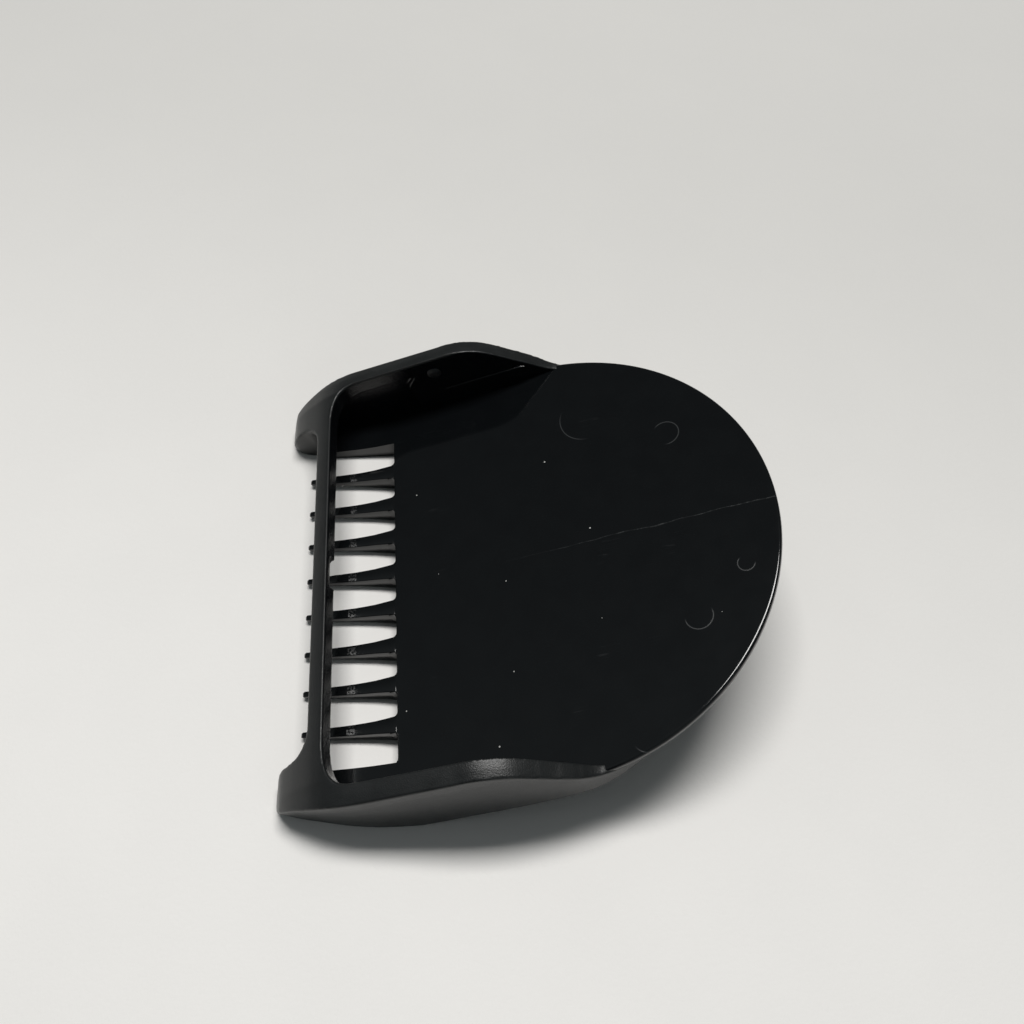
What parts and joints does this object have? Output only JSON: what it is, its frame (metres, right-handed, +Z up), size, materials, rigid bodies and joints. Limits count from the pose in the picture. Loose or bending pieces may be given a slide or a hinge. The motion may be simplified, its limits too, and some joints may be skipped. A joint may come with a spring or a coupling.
{
  "type": "hair clipper attachment comb",
  "caption": "Black moulded attachment comb for a hair clipper: round-backed deck, two side walls, front bridge bar and comb teeth, resting on its teeth.",
  "frame": {"origin": "centre of the bounding box on the surface that the comb rests on", "axes": "+Z up from that surface, +X from the teeth towards the raised round rear, +Y towards the left side wall"},
  "size_m": [0.0484, 0.0484, 0.0164],
  "materials": {
    "gloss_black": "polished black moulding with fine scuffs",
    "satin_black": "satin black moulding"
  },
  "bodies": {
    "root": {"deck": "gloss_black", "web_left": "gloss_black", "web_right": "gloss_black", "tooth_1": "gloss_black", "tooth_2": "gloss_black", "tooth_3": "gloss_black", "tooth_4": "gloss_black", "tooth_5": "gloss_black", "tooth_6": "gloss_black", "tooth_7": "gloss_black", "tooth_8": "gloss_black", "deck_skirt": "satin_black", "wall_left": "satin_black", "wall_right": "satin_black", "nose_left": "satin_black", "nose_right": "satin_black", "front_bar": "satin_black", "snap_left": "satin_black", "snap_right": "satin_black", "rail_left": "satin_black", "rail_right": "satin_black"}
  },
  "joints": []
}
